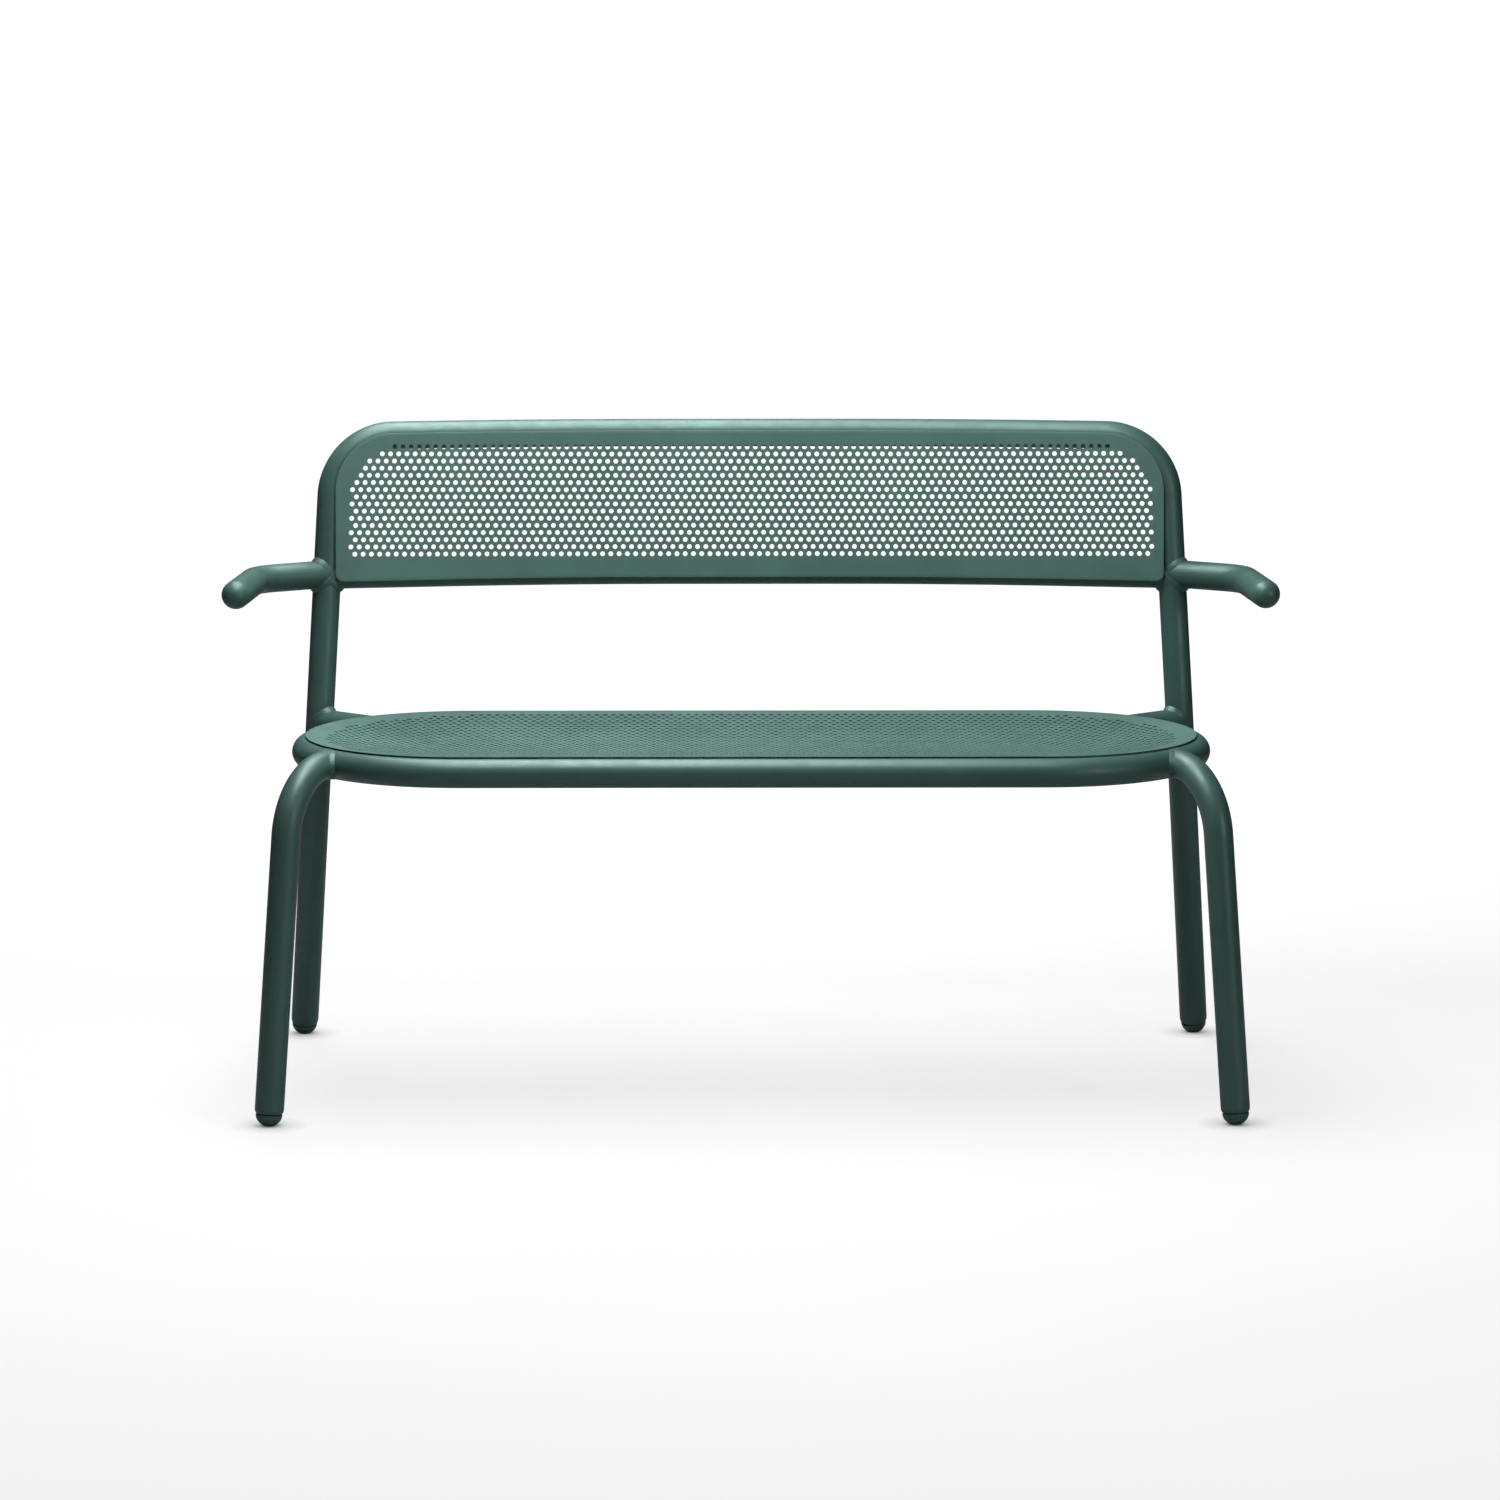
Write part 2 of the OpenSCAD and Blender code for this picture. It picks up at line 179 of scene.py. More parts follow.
# The tubes' green is the bench's one paint made darker: painted shade for their upright sides.
SHADED_TUBE_COLOUR = (0.038, 0.083, 0.073)
# The panels' green is the same paint made lighter: painted light that the sheets' broad faces catch.
LIT_PANEL_COLOUR = (0.070, 0.140, 0.125)
GLIDE_COLOUR = (0.040, 0.084, 0.074)
GLOSS_TINT = (0.70, 1.0, 0.92, 1.0)
GLOSS_LEVEL = 0.6
GLOSS_VARIES = 0.05
COLOUR_VARIES = 0.07
FLECK = (0.90, 0.90, 0.90, 1.0)
DRIFT_SCALE = 9.0                      # noise scales, in cells per metre
FLECK_SCALE = 1400.0
GLOSS_SCALE = 55.0
PEEL_SCALE = 420.0
FINE_PEEL_SCALE = 1900.0
PEEL_DEPTH = 0.0002
MIX_A, MIX_B, MIX_OUT = 6, 7, 2        # numbers of a Mix node's colour sockets

# ---------- studio ----------

FLOOR_R = 7.5
FLOOR_BEND = 3.0
WALL_TOP = 9.0
FLOOR_SIDES = 96
BEND_POINTS = 13
FADE = (0.6, 2.2)                      # the floor's glow rises between these places on Y
GLOW = (0.75, 1.02)
CONTACT_SHADOW_REACH = 0.035                  # how far the painted contact shadow around a foot reaches
BOUNCE = (0.32, 0.32, 0.32, 1)         # the floor as the bench sees it
# name, place, the point it shines at, width, height, watts
LIGHTS = (
    ("overhead", (-0.3, -0.02, 2.15), (-0.1, 0, 0.45), 2.3, 1.0, 92),
    ("front_right", (4.0, -4.4, 1.6), (0, 0, 0.5), 0.4, 1.6, 62),
)
WORLD_STRENGTH = 0.03
CAMERA_AT = (-0.0478, -6.3389, 1.3607)
CAMERA_TURN = (math.pi / 2 - 0.148729, 0.0, -0.0073538)
CAMERA_SENSOR = 36.0
CAMERA_LENS = 124.8


def unit(v):
    return v / np.linalg.norm(v)


def on_side(side, points):
    """Points given for the right (side 1), or their mirror image for the left (side -1)."""
    return np.asarray(points, float) * np.array([side, 1, 1])


def mirrored(points):
    return on_side(-1, points)


# ---------- centre lines ----------


def centre_line(points, radii):
    """Points along a bent tube's axis: straight runs, and an arc of its own radius at each inner point."""
    line = [points[0]]
    for i in range(1, len(points) - 1):
        d = unit(points[i] - points[i - 1])
        e = unit(points[i + 1] - points[i])
        angle = math.acos(np.clip(d @ e, -1, 1))
        inward = unit(e - (e @ d) * d)
        start = points[i] - d * radii[i] * math.tan(angle / 2)
        centre = start + inward * radii[i]
        steps = max(2, math.ceil(angle / TURN_STEP))
        for k in range(steps + 1):
            a = angle * k / steps
            line.append(centre + radii[i] * (math.sin(a) * d - math.cos(a) * inward))
    line.append(points[-1])
    return np.array(line)


def upright_point(z):
    x = KNEE[0] - (z - KNEE[2]) * (KNEE[0] - TOP_HALF) / (TOP_Z - KNEE[2])
    return np.array([x, KNEE[1] + (z - KNEE[2]) * math.tan(BACK_LEAN), z])


def bow_turn(end_x):
    """Angle of a bowed rail's end run, which is tangent to the bow's arc."""
    dx, dy = end_x - BOW_FLAT, BOW_R - BOW
    return math.atan2(dx, dy) - math.acos(BOW_R / math.hypot(dx, dy))


def bow_corner(end_x):
    return BOW_FLAT + BOW_R * math.tan(bow_turn(end_x) / 2)


def leg_end(mount, above):
    """The tube's lower end: up the leg's axis from the foot by the glide's height."""
    rest = np.array(MOUNTS[mount])
    d = unit(above - rest)
    return np.array([rest[0], rest[1], 0]) + np.array([0, 0, GLIDE_H * d[2]])


def back_frame_line():
    corner = upright_point(TOP_Z)
    bow = np.array([bow_corner(TOP_HALF), corner[1] + BOW, TOP_Z])
    half = [leg_end("foot_rear_right", KNEE), KNEE, corner, bow]
    points = [mirrored(p) for p in half] + half[::-1]
    radii = [0, KNEE_BEND, CORNER_BEND, BOW_R, BOW_R, CORNER_BEND, KNEE_BEND, 0]
    return centre_line(points, radii)


def lower_rail_line():
    end = upright_point(RAIL_Z) - np.array([0, TUBE_R - RAIL_R, 0])
    bow = np.array([bow_corner(end[0]), end[1] + BOW, RAIL_Z])
    return centre_line([mirrored(end), mirrored(bow), bow, end], [0, BOW_R, BOW_R, 0])


def ring_point(angle):
    """A point on the axis of the ring's right-hand round end; angle 0 is +X."""
    return np.array([RING_HALF + RING_R * math.cos(angle), SEAT_Y + RING_R * math.sin(angle), RING_Z])


def ring_line():
    steps = math.ceil(math.pi / TURN_STEP)
    right = [ring_point(-math.pi / 2 + math.pi * k / steps) for k in range(steps + 1)]
    return np.array(right + [mirrored(p) for p in right[::-1]])


def leg_line(side):
    root = ring_point(-LEG_ANGLE)
    top = root + LEG_REACH * np.array([math.cos(LEG_AIM), -math.sin(LEG_AIM), 0])
    points = [root, top, leg_end("foot_front_right", top)]
    return centre_line([on_side(side, p) for p in points], [0, LEG_BEND, 0])


def link_line(side):
    end = upright_point(RING_Z)
    end[1] = KNEE[1] + KNEE_SHIFT
    return np.array([on_side(side, ring_point(LINK_ANGLE)), on_side(side, end)])


def arm_line(side):
    points = [upright_point(ARM_Z), ELBOW, ARM_TIP]
    return centre_line([on_side(side, p) for p in points], [0, ELBOW_BEND, 0])


def brace_line(side):
    ends = [[BRACE_X, SEAT_Y + s * RING_R, BRACE_Z] for s in (-1, 1)]
    return np.array([on_side(side, p) for p in ends])


# ---------- meshes ----------


def new_object(name, verts, faces, material, smooth_angle=35):
    mesh = bpy.data.meshes.new(name)
    mesh.from_pydata([tuple(v) for v in verts], [], faces)
    mesh.validate()
    mesh.polygons.foreach_set("use_smooth", [True] * len(mesh.polygons))
    mesh.set_sharp_from_angle(angle=math.radians(smooth_angle))
    mesh.materials.append(material)
    obj = bpy.data.objects.new(name, mesh)
    bpy.context.scene.collection.objects.link(obj)
    return obj


def outward(obj):
    """Turns the faces of a closed mesh to face out."""
    bm = bmesh.new()
    bm.from_mesh(obj.data)
    bmesh.ops.recalc_face_normals(bm, faces=bm.faces)
    bm.to_mesh(obj.data)
    bm.free()
    return obj


def skin(rings, closed):
    """Faces over a stack of rings. An open stack is closed with a fan at each end."""
    n, k = len(rings), len(rings[0])
    verts = list(np.asarray(rings).reshape(-1, 3))
    faces = []
    for i in range(n if closed else n - 1):
        a, b = i * k, (i + 1) % n * k
        faces += [(a + j, a + (j + 1) % k, b + (j + 1) % k, b + j) for j in range(k)]
    if not closed:
        for ring, flip in ((0, True), (n - 1, False)):
            verts.append(np.mean(rings[ring], axis=0))
            hub, a = len(verts) - 1, ring * k
            for j in range(k):
                edge = (a + j, a + (j + 1) % k)
                faces.append((hub, edge[1], edge[0]) if flip else (hub, edge[0], edge[1]))
    return verts, faces


def circle(centre, u, v, r, sides):
    turns = np.linspace(0, 2 * math.pi, sides, endpoint=False)[:, None]
    return centre + r * (np.cos(turns) * u + np.sin(turns) * v)


def sections(line, radii, closed=False, sides=TUBE_SIDES):
    """One round section per point of the line, carried along without twist."""
    n = len(line)
    rings = []
    u = None
    for i in range(n):
        before = line[(i - 1) % n] if closed or i else line[0]
        after = line[(i + 1) % n] if closed or i < n - 1 else line[-1]
        t = unit(after - before)
        if u is None:
            u = np.cross(t, [0, 0, 1] if abs(t[2]) < 0.9 else [1, 0, 0])
        u = unit(u - (u @ t) * t)
        rings.append(circle(line[i], u, np.cross(t, u), radii[i], sides))
    return rings


def nearest(path, x):
    """The point of a centre line that is nearest to x."""
    a, b = path[:-1], path[1:]
    ab = b - a
    t = np.clip(((x - a) * ab).sum(1) / (ab * ab).sum(1), 0, 1)
    points = a + ab * t[:, None]
    return points[np.argmin(((x - points) ** 2).sum(1))]


def fine_end(line):
    """The line with closely spaced points over its last stretch."""
    away = np.concatenate([[0], np.cumsum(np.linalg.norm(np.diff(line[::-1], axis=0), axis=1))])
    wanted = np.arange(0, JOINT_RUN, JOINT_STEP)
    places = np.sort(np.concatenate([wanted, away[away > JOINT_RUN]]))
    columns = [np.interp(places, away, line[::-1, axis]) for axis in range(3)]
    return np.stack(columns, axis=1)[::-1]


def meeting(rings, path, r):
    """For each side line of a tube, the section number (a fraction) where it enters a tube around path."""
    first = len(rings) - round(JOINT_RUN / JOINT_STEP) - 1
    gaps = np.array([[np.linalg.norm(p - nearest(path, p)) - r for p in ring] for ring in rings[first:]])
    at = []
    for gap in gaps.T:
        inside = np.nonzero(gap <= TOUCH)[0]
        if len(inside) == 0:
            at.append(len(rings) - 1.0)
        elif inside[0] == 0:
            at.append(float(first))
        else:
            i = inside[0]
            at.append(first + i - 1 + gap[i - 1] / (gap[i - 1] - gap[i]))
    return np.array(at)


def on_sections(rings, at):
    """The point of each side line at its own section number."""
    rings = np.asarray(rings)
    low = np.clip(np.floor(at).astype(int), 0, len(rings) - 2)
    part = (at - low)[:, None]
    side = np.arange(rings.shape[1])
    return rings[low, side] * (1 - part) + rings[low + 1, side] * part


def coped(rings, path, r):
    """Sections of a tube, with the last ones bent onto the tube of radius r around path."""
    at = meeting(rings, path, r - COPE_SINK)
    last = int(math.floor(at.min()))
    bands = [on_sections(rings, last + (at - last) * k / JOINT_BANDS) for k in range(1, JOINT_BANDS + 1)]
    return list(rings[:last + 1]) + bands


def rolled_in(line, radii):
    """The line and radii with extra sections at its last point, where the leg narrows to its plug."""
    d = unit(line[-1] - line[-2])
    turns = [math.pi / 2 * k / ROLL_STEPS for k in range(ROLL_STEPS + 1)]
    points = [line[-1] - d * (RIM_R + ROLL_H * (1 - math.sin(a))) for a in turns]
    narrowed = [radii[-1] - ROLL_R * (1 - math.cos(a)) for a in turns]
    narrowed.append(narrowed[-1] - RIM_R)
    return np.vstack([line[:-1], points, line[-1:]]), list(radii[:-1]) + narrowed


def tube(name, line, r, start=None, end=None, foot_start=False, foot_end=False, closed=False):
    """A bent tube. start and end are (path, radius) of the tubes that its ends are welded to."""
    line = np.array(line)
    if start:
        line = fine_end(line[::-1])[::-1]
    if end:
        line = fine_end(line)
    radii = [r] * len(line)
    if foot_start:
        line, radii = rolled_in(line[::-1], radii[::-1])
        line, radii = line[::-1], radii[::-1]
    if foot_end:
        line, radii = rolled_in(line, radii)
    rings = sections(line, radii, closed)
    if start:
        rings = coped(rings[::-1], *start)[::-1]
    if end:
        rings = coped(rings, *end)
    return new_object(name, *skin(rings, closed), tube_paint)


# ---------- weld fillets ----------


def weld(line, r, path, big_r, seed):
    """Sections of a fillet of weld metal around the joint of a tube (its last point) with another tube."""
    line = fine_end(np.array(line))
    rings = np.asarray(sections(line, [r] * len(line), sides=WELD_SIDES))
    at = meeting(rings, path, big_r)
    joint = on_sections(rings, at)
    centres = on_sections(np.repeat(line[:, None], WELD_SIDES, axis=1), at)
    behind = on_sections(np.repeat(line[:, None], WELD_SIDES, axis=1), at - 1)
    ripples = round(2 * math.pi * r / RIPPLE_PITCH)
    waves = np.random.default_rng(seed).uniform(0, 2 * math.pi, WELD_WAVES)
    steps = np.linspace(0, 1, WELD_POINTS)
    fillet = []
    for i, (p, c, before) in enumerate(zip(joint, centres, behind)):
        phi = 2 * math.pi * i / WELD_SIDES
        d = unit(c - before)
        normal_a = unit(p - c)
        normal_b = unit(p - nearest(path, p))
        along_b = normal_a + WELD_TURN * d
        along_b = unit(along_b - (along_b @ normal_b) * normal_b)
        wave = sum(math.sin((k + 2) * phi + w) for k, w in enumerate(waves)) / WELD_WAVES
        leg = WELD_LEG * (1 + WELD_WAVE * wave)
        foot_a = p - leg * d - WELD_SINK * normal_a
        foot_b = p + leg * along_b
        q = nearest(path, foot_b)
        foot_b = q + unit(foot_b - q) * (big_r - WELD_SINK)
        crown = unit(normal_a + normal_b)
        flat = max(0.0, normal_a @ normal_b)
        bulge = leg * (WELD_CROWN + WELD_CROWN_FLAT * flat) + RIPPLE * math.sin(ripples * phi + waves[0])
        ring = [(1 - w) * foot_a + w * foot_b + crown * bulge * 4 * w * (1 - w) for w in steps]
        fillet.append(ring + [p - WELD_ROOT * crown])
    return fillet


def weld_group(name, joints):
    """One piece with the fillet of each joint: (line, radius, path, radius of the tube around path)."""
    verts, faces = [], []
    for i, joint in enumerate(joints):
        v, f = skin(weld(*joint, seed=i + 1), closed=True)
        faces += [tuple(n + len(verts) for n in face) for face in f]
        verts += v
    return outward(new_object(name, verts, faces, tube_paint, smooth_angle=60))


# ---------- sheets with holes ----------


def lattice(first_row, rows, shift, half_width, inside):
    """Centres of the holes, in staggered rows."""
    centres = []
    for row in range(rows):
        offset = PITCH / 2 if row % 2 else 0
        count = math.ceil(half_width / PITCH)
        for k in range(-count, count + 1):
            u, v = shift + offset + k * PITCH, first_row + row * ROW
            if inside(u - shift, v):
                centres.append((u, v))
    return np.array(centres)


def cell_corner(turn):
    """Distance from a hole's centre to the outline of its six-sided cell."""
    return PITCH / math.sqrt(3) if turn % 2 else PITCH / 2


def cells(centres):
    """Six-sided cells with a round hole in each: points, faces, hole loops, edges of the whole patch."""
    points, index, faces, loops, edges = [], {}, [], [], {}

    def shared(p):
        """The number of the cell outline's point at p, which neighbouring cells share."""
        key = (round(p[0] / SNAP), round(p[1] / SNAP))
        for dx in (0, -1, 1):
            for dy in (0, -1, 1):
                if (key[0] + dx, key[1] + dy) in index:
                    return index[key[0] + dx, key[1] + dy]
        index[key] = len(points)
        points.append(p)
        return index[key]

    for c in centres:
        rim, loop = [], []
        for k in range(HOLE_SIDES):
            a = 2 * math.pi * k / HOLE_SIDES
            way = np.array([math.cos(a), math.sin(a)])
            rim.append(shared(c + cell_corner(k) * way))
            points.append(c + HOLE_R * way)
            loop.append(len(points) - 1)
        for k in range(HOLE_SIDES):
            n = (k + 1) % HOLE_SIDES
            faces.append((loop[k], rim[k], rim[n], loop[n]))
            if (rim[n], rim[k]) in edges:
                del edges[rim[n], rim[k]]
            else:
                edges[rim[k], rim[n]] = True
        loops.append(loop)
    return points, faces, loops, list(edges)


def in_cell(p, centres):
    """Whether a point lies in some hole's six-sided cell."""
    x, y = np.abs(centres - np.array(p)).T
    half = PITCH / 2 + NEAR
    inside = (x < half) & (x / 2 + y * math.sqrt(3) / 2 < half)
    return bool(inside.any())


def in_outline(p, outline):
    x, y = p
    a, b = outline, np.roll(outline, -1, axis=0)
    crossing = (a[:, 1] > y) != (b[:, 1] > y)
    with np.errstate(divide="ignore", invalid="ignore"):
        at = a[:, 0] + (y - a[:, 1]) / (b[:, 1] - a[:, 1]) * (b[:, 0] - a[:, 0])
    return bool((crossing & (x < at)).sum() % 2)


def flat_sheet(centres, outline):
    """Plane mesh of a sheet with a round hole at each centre: points, faces, hole loops, outline loop."""
    points, faces, loops, inner = cells(centres)
    border = list(range(len(points), len(points) + len(outline)))
    points += list(outline)
    ids = sorted({i for edge in inner for i in edge}) + border
    where = {n: i for i, n in enumerate(ids)}
    edges = [(where[a], where[b]) for a, b in inner + list(zip(border, border[1:] + border[:1]))]
    flat = [Vector(points[i]) for i in ids]
    _, _, fill, origins, _, _ = delaunay_2d_cdt(flat, edges, [], 0, NEAR)
    for tri in fill:
        mean = sum((flat[origins[i][0]] for i in tri), Vector((0, 0))) / 3
        if in_outline(mean, outline) and not in_cell(mean, centres):
            faces.append(tuple(ids[origins[i][0]] for i in tri))
    return np.array(points), faces, loops, border


def band(upper, lower):
    count = len(upper)
    return [(upper[i], lower[i], lower[(i + 1) % count], upper[(i + 1) % count]) for i in range(count)]


def edge_profile():
    """(distance out, height) around a sheet's edge: the arris, back in under it, and down to the seam."""
    turns = [math.pi / 2 * k / ARRIS_STEPS for k in range(ARRIS_STEPS + 1)]
    arris = [(SEAM_BACK + ARRIS * math.sin(a), SHEET / 2 - ARRIS + ARRIS * math.cos(a)) for a in turns]
    seam_low = -SHEET / 2 - STAND_OFF - SEAM_SINK
    return arris + [(SEAM_BACK, -SHEET / 2), (SEAM_W, -SHEET / 2), (SEAM_W, seam_low), (0, seam_low)]


def sheet(name, centres, outline, surface):
    """A sheet with holes, on its seam. surface(points, height) places points of the plane in space."""
    points, faces, loops, border = flat_sheet(centres, outline)
    n = len(points)
    verts = list(surface(points, SHEET / 2)) + list(surface(points, -SHEET / 2))
    solid = list(faces) + [tuple(i + n for i in face[::-1]) for face in faces]
    for loop in loops:
        for a, b in zip(loop, loop[1:] + loop[:1]):
            solid.append((a, b, b + n, a + n))
    edge = points[border]
    along = np.roll(edge, -1, axis=0) - np.roll(edge, 1, axis=0)
    out = np.stack([along[:, 1], -along[:, 0]], axis=1)
    out /= np.linalg.norm(out, axis=1)[:, None]
    previous = border
    for width, height in edge_profile():
        ring = list(range(len(verts), len(verts) + len(border)))
        verts += list(surface(edge + out * width, height))
        solid += band(previous, ring)
        previous = ring
    solid += band(previous, [i + n for i in border])
    return outward(new_object(name, verts, solid, panel_paint))


def arc(centre, r, start, end, steps=24):
    """Points of a round corner, anticlockwise, angles in degrees."""
    angles = np.radians(np.linspace(start, end, steps + 1))
    return [np.array([centre[0] + r * math.cos(a), centre[1] + r * math.sin(a)]) for a in angles]


def resampled(corners):
    """A closed outline with points about EDGE_STEP apart on its long straight runs."""
    out = []
    for a, b in zip(corners, np.roll(corners, -1, axis=0)):
        steps = max(1, round(np.linalg.norm(b - a) / EDGE_STEP))
        out += [a + (b - a) * k / steps for k in range(steps)]
    return np.array(out)


# ---------- seat panel ----------


def in_seat_field(u, v):
    beyond = max(abs(u) - SEAT_FIELD_HALF, 0)
    return math.hypot(beyond, v) <= SEAT_FIELD_R


def seat_surface(points, height):
    """Points of the plane on the dish: part of a cylinder, and of a sphere at each round end."""
    dish_r = (RING_R ** 2 + DISH ** 2) / (2 * DISH)
    beyond = np.maximum(np.abs(points[:, 0]) - RING_HALF, 0)
    rho = np.minimum(np.hypot(beyond, points[:, 1]), RING_R + SEAT_OVERHANG)
    z = SEAT_TOP - SHEET / 2 + dish_r - DISH - np.sqrt(dish_r ** 2 - rho ** 2) + height
    return np.stack([points[:, 0], SEAT_Y + points[:, 1], z], axis=1)


def seat_panel():
    r = RING_R + SEAT_OVERHANG - INSET
    corners = arc((RING_HALF, 0), r, -90, 90, 90) + arc((-RING_HALF, 0), r, 90, 270, 90)
    centres = lattice(-(SEAT_ROWS - 1) / 2 * ROW, SEAT_ROWS, 0, RING_HALF + RING_R, in_seat_field)
    return sheet("seat_sheet", centres, resampled(corners), seat_surface)


# ---------- back panel ----------

BACK_TURN = bow_turn(TOP_HALF)


def in_back_field(u, v):
    x = abs(u) - (BACK_FIELD_HALF - BACK_FIELD_R)
    y = v - (BACK_FIELD_TOP - BACK_FIELD_R)
    if x > 0 and y > 0:
        return math.hypot(x, y) <= BACK_FIELD_R
    return x <= BACK_FIELD_R


def bow_runs(x):
    """The parts of a distance x from the centre that lie over the bow's arc and over its straight end."""
    run = np.clip(np.abs(x) - BOW_FLAT, 0, BACK_R * math.sin(BACK_TURN))
    beyond = np.maximum(np.abs(x) - BOW_FLAT - BACK_R * math.sin(BACK_TURN), 0)
    return run, beyond


def bow_depth(x):
    """How far the bowed sheet's middle lies in front of the rails' axis, at distance x from the centre."""
    run, beyond = bow_runs(x)
    return BOW_R - np.sqrt(BACK_R ** 2 - run ** 2) + beyond * math.tan(BACK_TURN)


def spacing(v):
    """How much wider than the seat's pitch the back's holes are spaced, at height v."""
    return BACK_STRETCH - BACK_TAPER * (v - BACK_FIRST)


def unrolled(x, v):
    """Distance along the bowed sheet from its middle to the place at x, in units of the holes' spacing."""
    run, beyond = bow_runs(x)
    along = np.minimum(np.abs(x), BOW_FLAT) + BACK_R * np.arcsin(run / BACK_R) + beyond / math.cos(BACK_TURN)
    return np.sign(x) * along / spacing(v)


def rolled(u, v):
    """The inverse of unrolled."""
    along = np.abs(u) * spacing(v)
    run = np.clip(along - BOW_FLAT, 0, BACK_R * BACK_TURN)
    beyond = np.maximum(along - BOW_FLAT - BACK_R * BACK_TURN, 0)
    x = np.minimum(along, BOW_FLAT) + BACK_R * np.sin(run / BACK_R) + beyond * math.cos(BACK_TURN)
    return np.sign(u) * x


def back_surface(points, height):
    """Points (distance along, distance up the leaning sheet) in space. Height counts towards the sitter."""
    x = rolled(points[:, 0], points[:, 1])
    depth = -(bow_depth(x) + height)
    origin_y = upright_point(RAIL_Z)[1] + BOW
    y = origin_y + depth * math.cos(BACK_LEAN) + points[:, 1] * math.sin(BACK_LEAN)
    z = RAIL_Z - depth * math.sin(BACK_LEAN) + points[:, 1] * math.cos(BACK_LEAN)
    return np.stack([x, y, z], axis=1)


def back_outline():
    """The back panel's edge, in the plane that back_surface bends."""
    half, low, high = panel_high.x - INSET, panel_low.z + INSET, panel_high.z - INSET
    top, foot = BACK_TOP_R - INSET, BACK_LOW_R - INSET
    corners = arc((half - foot, low + foot), foot, -90, 0, 8) + arc((half - top, high - top), top, 0, 90)
    corners += arc((top - half, high - top), top, 90, 180) + arc((foot - half, low + foot), foot, 180, 270, 8)
    outline = resampled(np.array(corners))
    lean = math.sin(BACK_LEAN) * bow_depth(outline[:, 0])
    outline[:, 1] = (outline[:, 1] - RAIL_Z - lean) / math.cos(BACK_LEAN)
    outline[:, 0] = unrolled(outline[:, 0], outline[:, 1])
    return outline


def back_panel():
    centres = lattice(BACK_FIRST, BACK_ROWS, BACK_SHIFT, BACK_FIELD_HALF, in_back_field)
    return sheet("back_sheet", centres, back_outline(), back_surface)


# ---------- turned pieces ----------


def revolved(name, line, profile, material):
    """A solid turned about the end of a centre line. profile holds (distance past the end, radius) pairs."""
    d = unit(line[-1] - line[-2])
    u = unit(np.cross(d, [0, 1, 0] if abs(d[1]) < 0.9 else [1, 0, 0]))
    rings = [circle(line[-1] + d * s, u, np.cross(d, u), r, TUBE_SIDES) for s, r in profile]
    rings = [np.stack([ring[:, 0], ring[:, 1], np.maximum(ring[:, 2], 0.0)], axis=1) for ring in rings]
    return outward(new_object(name, *skin(rings, False), material))


def dome(start, length, r, tip_r):
    """Profile of half an ellipse, from its widest ring to its tip."""
    turns = [math.pi / 2 * k / DOME_STEPS for k in range(1, DOME_STEPS + 1)]
    return [(start + length * math.sin(a), max(r * math.cos(a), tip_r)) for a in turns]


def glide(name, line):
    """Plastic plug under the last point of a leg's line: a shadow gap, then a dome cut flat by the floor."""
    profile = GLIDE_NECK + dome(DOME_START, DOME_C - DOME_START, DOME_A, GLIDE_TIP_R)
    return revolved(name, line, profile, glide_plastic)


def arm_cap(name, line):
    """Dome over the front end of an armrest, flush with its tube."""
    return revolved(name, line, CAP_NECK + dome(0.0, TUBE_R, TUBE_R, CAP_TIP_R), tube_paint)


# ---------- materials ----------


def node_maker(material):
    """A function that adds a node to the material, with its links and its values."""
    material.use_nodes = True
    tree = material.node_tree
    tree.nodes.clear()

    def make(kind, links=(), **values):
        node = tree.nodes.new(kind)
        for key, value in values.items():
            if hasattr(node, key):
                setattr(node, key, value)
            else:
                node.inputs[key.replace("_", " ")].default_value = value
        for socket, source in dict(links).items():
            tree.links.new(source, node.inputs[socket])
        return node

    return make


def noise(make, place_at, scale, detail=2.0):
    return make("ShaderNodeTexNoise", {"Vector": place_at}, Scale=scale, Detail=detail).outputs["Fac"]


def spread(make, source, low, high):
    """Maps the middle of a noise's range to low and high."""
    links = {"Value": source}
    node = make("ShaderNodeMapRange", links, From_Min=0.35, From_Max=0.65, To_Min=low, To_Max=high)
    return node.outputs["Result"]


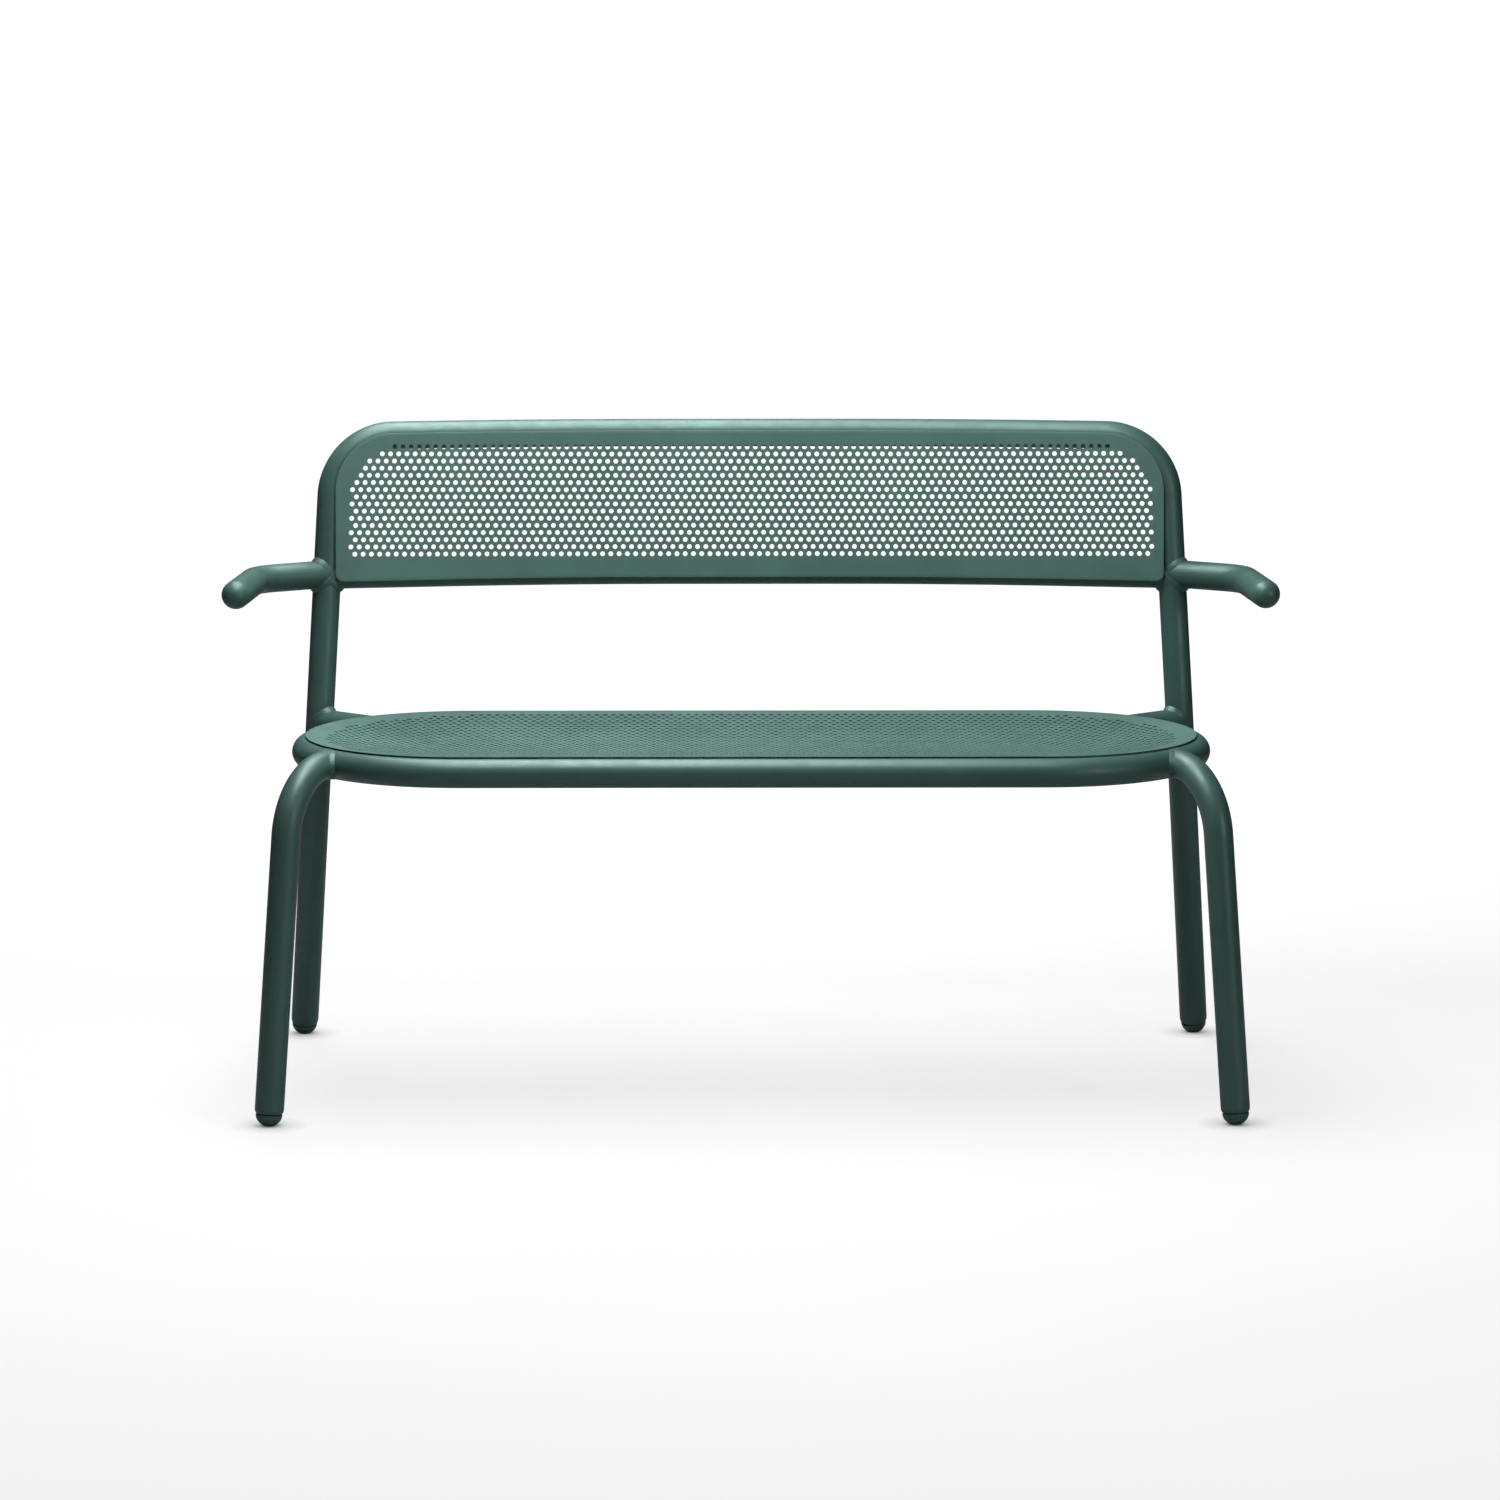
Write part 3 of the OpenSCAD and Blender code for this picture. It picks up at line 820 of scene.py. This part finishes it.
def coated(name, colour, roughness, peel):
    """Painted or moulded surface: slow colour drift, uneven gloss, and a fine orange-peel relief."""
    material = bpy.data.materials.new(name)
    make = node_maker(material)
    place_at = make("ShaderNodeTexCoord").outputs["Object"]
    drift = spread(make, noise(make, place_at, DRIFT_SCALE, 3.0), 0.0, 1.0)
    fleck = spread(make, noise(make, place_at, FLECK_SCALE), 0.0, 1.0)
    slow = make("ShaderNodeMix", {"Factor": drift}, data_type="RGBA")
    slow.inputs[MIX_A].default_value = [c * (1 - COLOUR_VARIES) for c in colour] + [1.0]
    slow.inputs[MIX_B].default_value = [c * (1 + COLOUR_VARIES) for c in colour] + [1.0]
    links = {"Factor": fleck, MIX_A: slow.outputs[MIX_OUT]}
    grain = make("ShaderNodeMix", links, data_type="RGBA", blend_type="MULTIPLY")
    grain.inputs[MIX_B].default_value = FLECK
    gloss = noise(make, place_at, GLOSS_SCALE, 4.0)
    gloss = spread(make, gloss, roughness - GLOSS_VARIES, roughness + GLOSS_VARIES)
    coarse, fine = noise(make, place_at, PEEL_SCALE, 3.0), noise(make, place_at, FINE_PEEL_SCALE)
    relief = make("ShaderNodeMath", {0: coarse, 1: fine}, operation="ADD")
    bump = make("ShaderNodeBump", {"Height": relief.outputs[0]}, Strength=peel, Distance=PEEL_DEPTH)
    surface = make("ShaderNodeBsdfPrincipled", {
        "Base Color": grain.outputs[MIX_OUT], "Roughness": gloss, "Normal": bump.outputs["Normal"]})
    surface.inputs["Specular Tint"].default_value = GLOSS_TINT
    surface.inputs["Specular IOR Level"].default_value = GLOSS_LEVEL
    make("ShaderNodeOutputMaterial", {"Surface": surface.outputs["BSDF"]})
    return material


def studio_floor():
    """Pale matt floor that the camera sees lit from within, with a painted contact shadow around each foot.
    """
    material = bpy.data.materials.new("studio_floor")
    make = node_maker(material)
    place_at = make("ShaderNodeTexCoord").outputs["Object"]
    seen = make("ShaderNodeLightPath").outputs["Is Camera Ray"]
    shade = spread(make, noise(make, place_at, 1.5), 0.17, 0.18)
    grey = make("ShaderNodeCombineColor", {"Red": shade, "Green": shade, "Blue": shade})
    matt = make("ShaderNodeBsdfDiffuse", {"Color": grey.outputs[0]})
    depth = make("ShaderNodeSeparateXYZ", {0: place_at}).outputs["Y"]
    level = make("ShaderNodeMapRange", {"Value": depth},
                 From_Min=FADE[0], From_Max=FADE[1], To_Min=GLOW[0], To_Max=GLOW[1])
    # Painted contact shadow: the floor's glow, as the camera sees it, is dimmed where a foot is near.
    contact_shadow = make("ShaderNodeAmbientOcclusion", samples=2, Distance=CONTACT_SHADOW_REACH).outputs["AO"]
    lit = make("ShaderNodeMath", {0: level.outputs["Result"], 1: contact_shadow}, operation="MULTIPLY")
    glow = make("ShaderNodeEmission", {"Strength": lit.outputs[0]})
    both = make("ShaderNodeAddShader", {0: matt.outputs[0], 1: glow.outputs[0]})
    dim = make("ShaderNodeBsdfDiffuse")
    dim.inputs["Color"].default_value = BOUNCE
    mix = make("ShaderNodeMixShader", {0: seen, 1: dim.outputs[0], 2: both.outputs[0]})
    make("ShaderNodeOutputMaterial", {"Surface": mix.outputs[0]})
    return material


# ---------- the bench ----------

# Tubes and panels carry one paint, darkened on the tubes as painted shade and lightened on the panels as
# painted light.
tube_paint = coated("tube_paint", SHADED_TUBE_COLOUR, 0.46, 0.25)
panel_paint = coated("panel_paint", LIT_PANEL_COLOUR, 0.47, 0.25)
glide_plastic = coated("glide_plastic", GLIDE_COLOUR, 0.48, 0.40)

SIDES = (("left", -1), ("right", 1))
back_path = back_frame_line()
ring_path = ring_line()
rail_path = lower_rail_line()
UPRIGHT = (back_path, TUBE_R)
RING = (np.vstack([ring_path, ring_path[:1]]), TUBE_R)


def ending(side, path):
    """A path from left to right, turned so that it ends on the given side."""
    return path if side > 0 else path[::-1]


def place(obj, node):
    """Makes a piece stand for a CAD node, and ride on the bench's one body."""
    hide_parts(node)
    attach(obj, "root")


def side_pieces(word, side):
    """The pieces that the bench has on its left and again on its right."""
    leg, arm = leg_line(side), arm_line(side)
    place(tube(f"leg_{word}", leg, TUBE_R, start=RING, foot_end=True), f"front_leg_{word}")
    place(tube(f"link_{word}", link_line(side), TUBE_R, start=RING, end=UPRIGHT), f"seat_link_{word}")
    place(tube(f"arm_{word}", arm, TUBE_R, start=UPRIGHT), f"armrest_{word}")
    place(arm_cap(f"arm_cap_{word}", arm), f"armrest_cap_{word}")
    place(tube(f"brace_{word}", brace_line(side), BRACE_R, start=RING, end=RING), f"seat_brace_{word}")
    place(glide(f"glide_front_{word}", leg), f"foot_glide_front_{word}")
    place(glide(f"glide_rear_{word}", ending(side, back_path)), f"foot_glide_rear_{word}")


def welds():
    """The five groups of weld fillets, each with its left side first."""
    arms, legs, links, rails, braces = [], [], [], [], []
    for _, side in SIDES:
        link, brace = link_line(side), brace_line(side)
        arms.append((arm_line(side)[::-1], TUBE_R, *UPRIGHT))
        legs.append((leg_line(side)[::-1], TUBE_R, *RING))
        links += [(link, TUBE_R, *UPRIGHT), (link[::-1], TUBE_R, *RING)]
        rails.append((ending(side, rail_path), RAIL_R, *UPRIGHT))
        braces += [(brace, BRACE_R, *RING), (brace[::-1], BRACE_R, *RING)]
    place(weld_group("welds_arms", arms), "weld_beads_armrests")
    place(weld_group("welds_legs", legs), "weld_beads_front_legs")
    place(weld_group("welds_links", links), "weld_beads_seat_links")
    place(weld_group("welds_rail", rails), "weld_beads_lower_rail")
    place(weld_group("welds_braces", braces), "weld_beads_seat_braces")


place(tube("back_tube", back_path, TUBE_R, foot_start=True, foot_end=True), "back_frame_tube")
place(tube("lower_rail", rail_path, RAIL_R, start=UPRIGHT, end=UPRIGHT), "back_lower_rail")
place(tube("seat_ring", ring_path, TUBE_R, closed=True), "seat_ring_tube")
for word, side in SIDES:
    side_pieces(word, side)
welds()
place(seat_panel(), "seat_panel")
place(back_panel(), "back_panel")


# ---------- floor, light and camera ----------


def backdrop():
    """Pale round floor that curves up into a wall, all round the bench and the camera."""
    bend = [(FLOOR_R + FLOOR_BEND * math.sin(a), FLOOR_BEND - FLOOR_BEND * math.cos(a))
            for a in np.linspace(0, math.pi / 2, BEND_POINTS)]
    profile = bend + [(FLOOR_R + FLOOR_BEND, WALL_TOP)]
    turns = [2 * math.pi * k / FLOOR_SIDES for k in range(FLOOR_SIDES)]
    verts = [(r * math.cos(a), r * math.sin(a), z) for r, z in profile for a in turns] + [(0, 0, 0)]
    hub = len(verts) - 1
    faces = [(hub, k, (k + 1) % FLOOR_SIDES) for k in range(FLOOR_SIDES)]
    for low in range(0, hub - FLOOR_SIDES, FLOOR_SIDES):
        high = low + FLOOR_SIDES
        for k in range(FLOOR_SIDES):
            n = (k + 1) % FLOOR_SIDES
            faces.append((low + k, high + k, high + n, low + n))
    new_object("backdrop", verts, faces, studio_floor(), smooth_angle=60)


def area_light(name, at, aim, width, height, power):
    light = bpy.data.lights.new(name, "AREA")
    light.shape = "RECTANGLE"
    light.size, light.size_y, light.energy = width, height, power
    obj = bpy.data.objects.new(name, light)
    obj.location = at
    obj.rotation_euler = (Vector(aim) - Vector(at)).to_track_quat("-Z", "Y").to_euler()
    obj.visible_camera = False
    bpy.context.scene.collection.objects.link(obj)


def world_light():
    world = bpy.data.worlds.new("studio")
    bpy.context.scene.world = world
    world.use_nodes = True
    node = world.node_tree.nodes["Background"]
    node.inputs["Color"].default_value = (1, 1, 1, 1)
    node.inputs["Strength"].default_value = WORLD_STRENGTH


def camera():
    data = bpy.data.cameras.new("camera")
    data.sensor_width, data.lens = CAMERA_SENSOR, CAMERA_LENS
    data.clip_end = 100.0
    obj = bpy.data.objects.new("camera", data)
    obj.location = CAMERA_AT
    obj.rotation_euler = CAMERA_TURN
    bpy.context.scene.collection.objects.link(obj)
    bpy.context.scene.camera = obj


backdrop()
for light in LIGHTS:
    area_light(*light)
world_light()
camera()
bpy.context.scene.view_settings.view_transform = "Standard"
